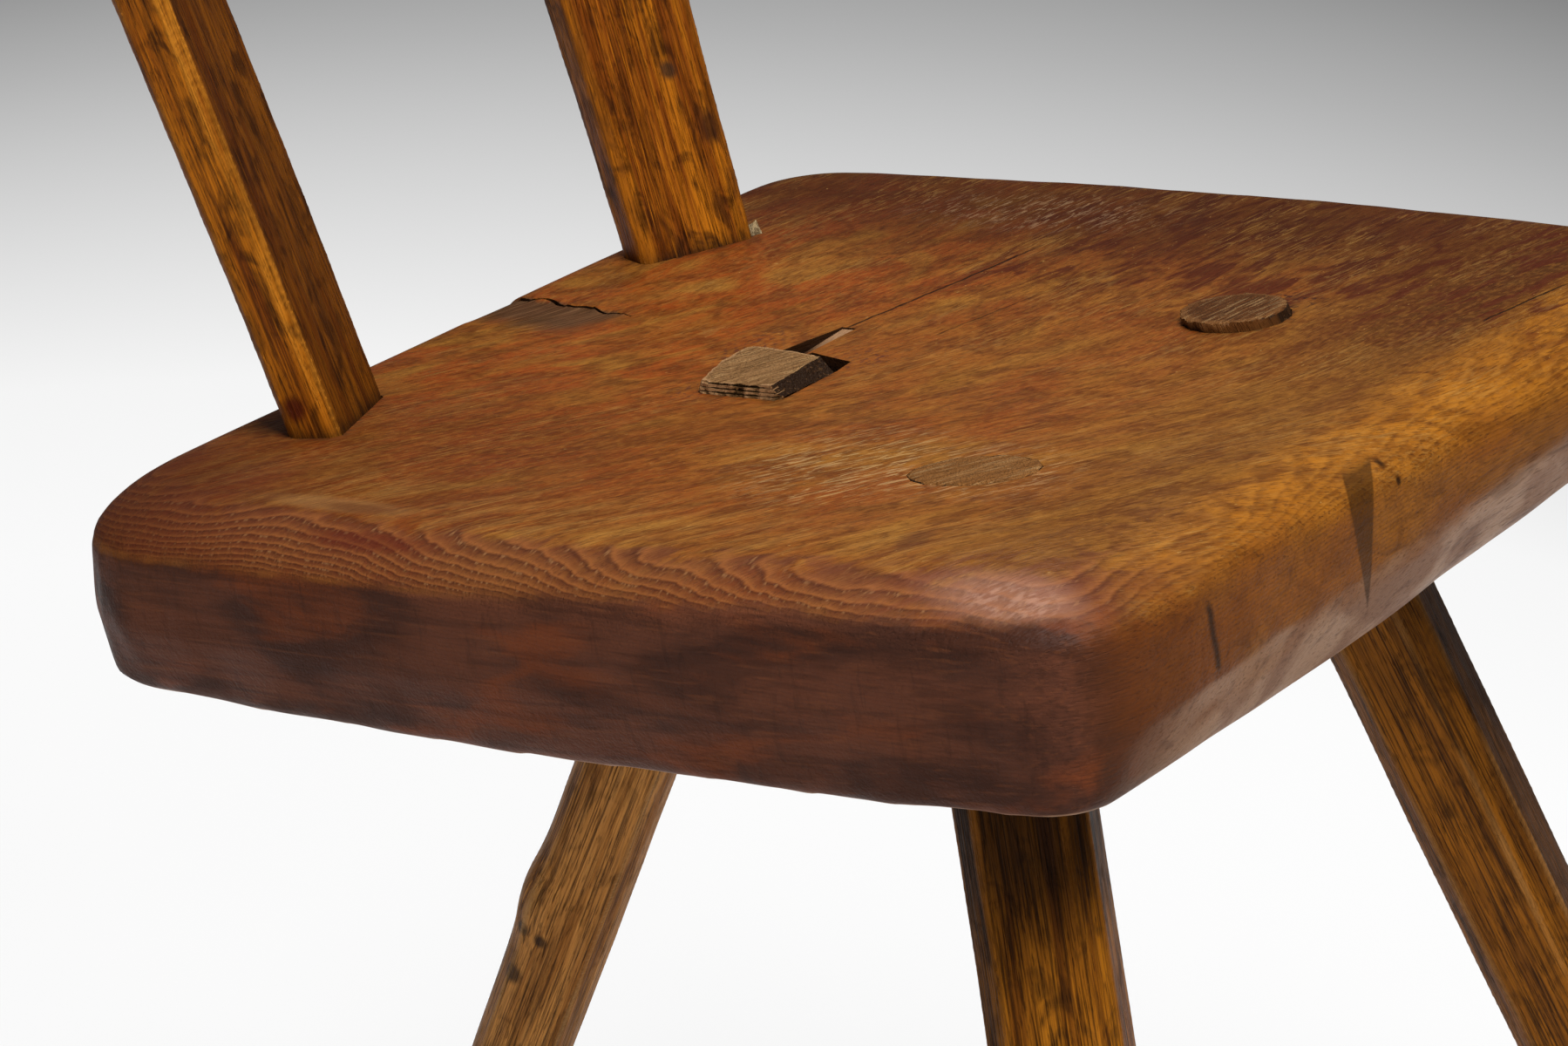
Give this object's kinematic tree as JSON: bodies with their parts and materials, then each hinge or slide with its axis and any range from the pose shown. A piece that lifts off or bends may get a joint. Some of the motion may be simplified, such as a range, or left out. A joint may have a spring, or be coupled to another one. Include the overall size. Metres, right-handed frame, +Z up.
{
  "type": "tripod back stool",
  "caption": "Rustic staked stool with a thick hewn plank seat, splayed legs, leaning back posts and a curved crest rail, in worn waxed wood.",
  "frame": {"origin": "on the floor, under the middle of the bounding box", "axes": "+Z up; +Y to the rear; +X to the sitter's left, so the stool faces -Y"},
  "size_m": [0.437, 0.574, 0.7773],
  "materials": {
    "seat_wood": "waxed, worn, satin",
    "rear_leg_wood": "worn, satin",
    "front_leg_wood": "hewn, waxed, satin",
    "post_wood": "hewn, waxed, satin",
    "rail_wood": "hewn, waxed, satin",
    "peg_wood": "end grain, waxed",
    "shim_wood": "split, bare"
  },
  "bodies": {
    "root": {"seat_plank": "seat_wood", "rear_leg": "rear_leg_wood", "right_front_leg": "front_leg_wood", "left_front_leg": "front_leg_wood", "right_back_post": "post_wood", "left_back_post": "post_wood", "crest_rail": "rail_wood", "right_crest_peg": "peg_wood", "left_crest_peg": "peg_wood", "left_post_shim": "shim_wood"}
  },
  "joints": []
}
